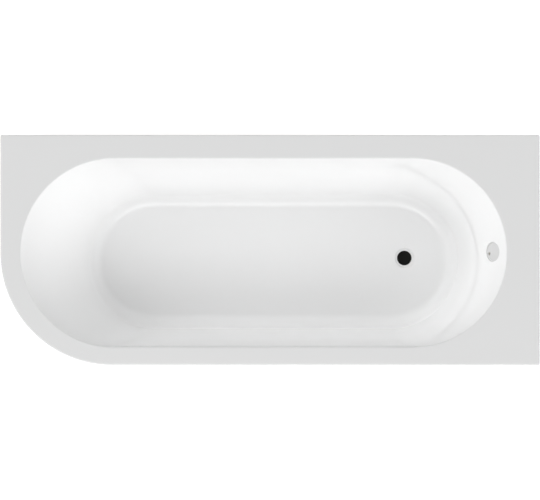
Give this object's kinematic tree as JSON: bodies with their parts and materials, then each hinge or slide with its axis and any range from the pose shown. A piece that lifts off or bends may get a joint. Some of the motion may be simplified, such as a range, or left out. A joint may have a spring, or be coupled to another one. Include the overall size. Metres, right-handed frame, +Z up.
{
  "type": "single ended corner bathtub",
  "caption": "White acrylic single ended bathtub with an oval well, one rounded corner, a side panel bent in one sheet and adjustable legs under a boarded base.",
  "frame": {"origin": "floor point under the centre of the rim outline, at the underside of the feet", "axes": "+X towards the waste and tap end, +Y towards the long wall side, +Z up"},
  "size_m": [1.7, 0.725, 0.56],
  "materials": {
    "acrylic": "polished white acrylic",
    "panel_acrylic": "polished white acrylic",
    "glass_resin": "rough sprayed glass fibre and resin",
    "chipboard": "raw chipboard",
    "batten_wood": "raw softwood",
    "galvanised_steel": "galvanised",
    "zinc_plated_steel": "bright zinc plate",
    "spring_steel": "plain spring steel",
    "foot_plastic": "moulded black plastic",
    "cap_plastic": "moulded white plastic"
  },
  "bodies": {
    "bath": {"acrylic_shell": "acrylic", "side_panel_front": "panel_acrylic", "side_panel_corner": "panel_acrylic", "side_panel_head": "panel_acrylic", "fibreglass_backing": "glass_resin", "board_laminate": "glass_resin", "baseboard": "chipboard", "rim_batten_back": "batten_wood", "rim_batten_front": "batten_wood", "rim_batten_tap_end": "batten_wood", "rim_batten_head_end": "batten_wood", "panel_stiffener_front_1": "batten_wood", "panel_stiffener_front_2": "batten_wood", "panel_stiffener_head": "batten_wood", "panel_rail_front": "batten_wood", "panel_rail_head": "batten_wood", "leg_bar_head": "galvanised_steel", "leg_bar_tap": "galvanised_steel", "centre_bracket": "galvanised_steel", "wall_bracket_back_head": "galvanised_steel", "wall_bracket_back_tap": "galvanised_steel", "wall_bracket_tap_end": "galvanised_steel", "panel_bracket_head": "galvanised_steel", "panel_bracket_tap": "galvanised_steel", "weld_nuts": "zinc_plated_steel", "lock_nuts": "zinc_plated_steel", "frame_screws": "zinc_plated_steel", "wall_bracket_screws": "zinc_plated_steel", "panel_clip_screws": "zinc_plated_steel", "panel_screws": "zinc_plated_steel", "panel_screw_caps": "cap_plastic", "panel_clip_front_1": "spring_steel", "panel_clip_front_2": "spring_steel", "panel_clip_front_3": "spring_steel", "panel_clip_head_1": "spring_steel", "panel_clip_head_2": "spring_steel"},
    "foot_head_front": {"foot_pad_head_front": "foot_plastic"},
    "stud_head_front": {"leg_stud_head_front": "zinc_plated_steel"},
    "foot_head_back": {"foot_pad_head_back": "foot_plastic"},
    "stud_head_back": {"leg_stud_head_back": "zinc_plated_steel"},
    "foot_tap_front": {"foot_pad_tap_front": "foot_plastic"},
    "stud_tap_front": {"leg_stud_tap_front": "zinc_plated_steel"},
    "foot_tap_back": {"foot_pad_tap_back": "foot_plastic"},
    "stud_tap_back": {"leg_stud_tap_back": "zinc_plated_steel"},
    "foot_centre": {"foot_pad_centre": "foot_plastic"},
    "stud_centre": {"leg_stud_centre": "zinc_plated_steel"}
  },
  "joints": [
    {"name": "head_front_height", "type": "slide", "parent": "bath", "child": "foot_head_front", "axis": [0, 0, 1], "range_m": [-0.03, 0.015]},
    {"name": "head_front_turn", "type": "hinge", "parent": "foot_head_front", "child": "stud_head_front", "pos_m": [-0.4, -0.298, 0.02], "axis": [0, 0, 1], "range_deg": [-6171.4, 3085.7]},
    {"name": "head_back_height", "type": "slide", "parent": "bath", "child": "foot_head_back", "axis": [0, 0, 1], "range_m": [-0.03, 0.015]},
    {"name": "head_back_turn", "type": "hinge", "parent": "foot_head_back", "child": "stud_head_back", "pos_m": [-0.4, 0.222, 0.02], "axis": [0, 0, 1], "range_deg": [-6171.4, 3085.7]},
    {"name": "tap_front_height", "type": "slide", "parent": "bath", "child": "foot_tap_front", "axis": [0, 0, 1], "range_m": [-0.03, 0.015]},
    {"name": "tap_front_turn", "type": "hinge", "parent": "foot_tap_front", "child": "stud_tap_front", "pos_m": [0.32, -0.298, 0.02], "axis": [0, 0, 1], "range_deg": [-6171.4, 3085.7]},
    {"name": "tap_back_height", "type": "slide", "parent": "bath", "child": "foot_tap_back", "axis": [0, 0, 1], "range_m": [-0.03, 0.015]},
    {"name": "tap_back_turn", "type": "hinge", "parent": "foot_tap_back", "child": "stud_tap_back", "pos_m": [0.32, 0.222, 0.02], "axis": [0, 0, 1], "range_deg": [-6171.4, 3085.7]},
    {"name": "centre_height", "type": "slide", "parent": "bath", "child": "foot_centre", "axis": [0, 0, 1], "range_m": [-0.03, 0.015]},
    {"name": "centre_turn", "type": "hinge", "parent": "foot_centre", "child": "stud_centre", "pos_m": [-0.04, -0.039, 0.02], "axis": [0, 0, 1], "range_deg": [-6171.4, 3085.7]}
  ],
  "couplings": [
    {"joint": "head_front_turn", "follows": "head_front_height", "rad_per_m": 3590.4},
    {"joint": "head_back_turn", "follows": "head_back_height", "rad_per_m": 3590.4},
    {"joint": "tap_front_turn", "follows": "tap_front_height", "rad_per_m": 3590.4},
    {"joint": "tap_back_turn", "follows": "tap_back_height", "rad_per_m": 3590.4},
    {"joint": "centre_turn", "follows": "centre_height", "rad_per_m": 3590.4}
  ]
}
